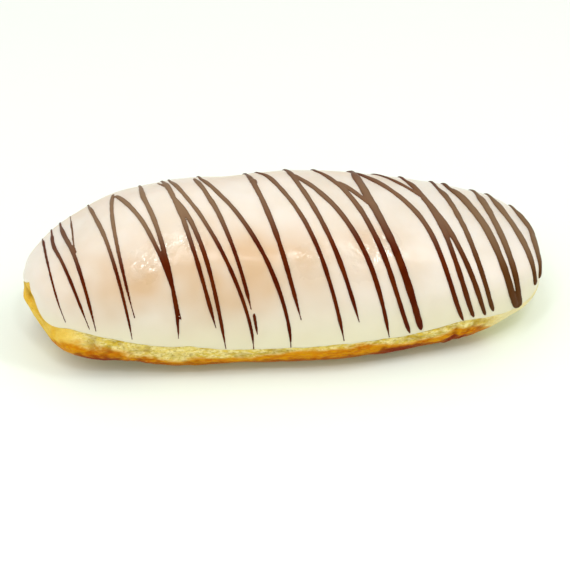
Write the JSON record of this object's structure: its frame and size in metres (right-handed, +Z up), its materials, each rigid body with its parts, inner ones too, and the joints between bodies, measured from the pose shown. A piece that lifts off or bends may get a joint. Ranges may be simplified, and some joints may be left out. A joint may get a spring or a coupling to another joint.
{
  "type": "chocolate-filled brioche",
  "caption": "Long soft brioche bun with a bare golden rim, white icing poured over its top and fine zigzag lines of dark chocolate across the icing.",
  "frame": {"origin": "centre of the flat base, midway along the length and the width", "axes": "+X along the length, towards the lower, blunter end; +Y across the bun, away from the side shown; +Z up"},
  "size_m": [0.16, 0.065, 0.0467],
  "materials": {
    "dough": "baked golden brioche, pale and porous under the icing and amber at the base",
    "icing": "smooth white sugar icing with a soft gloss",
    "chocolate": "set dark chocolate with a soft sheen"
  },
  "bodies": {
    "root": {"dough": "dough", "icing": "icing"}
  },
  "joints": []
}
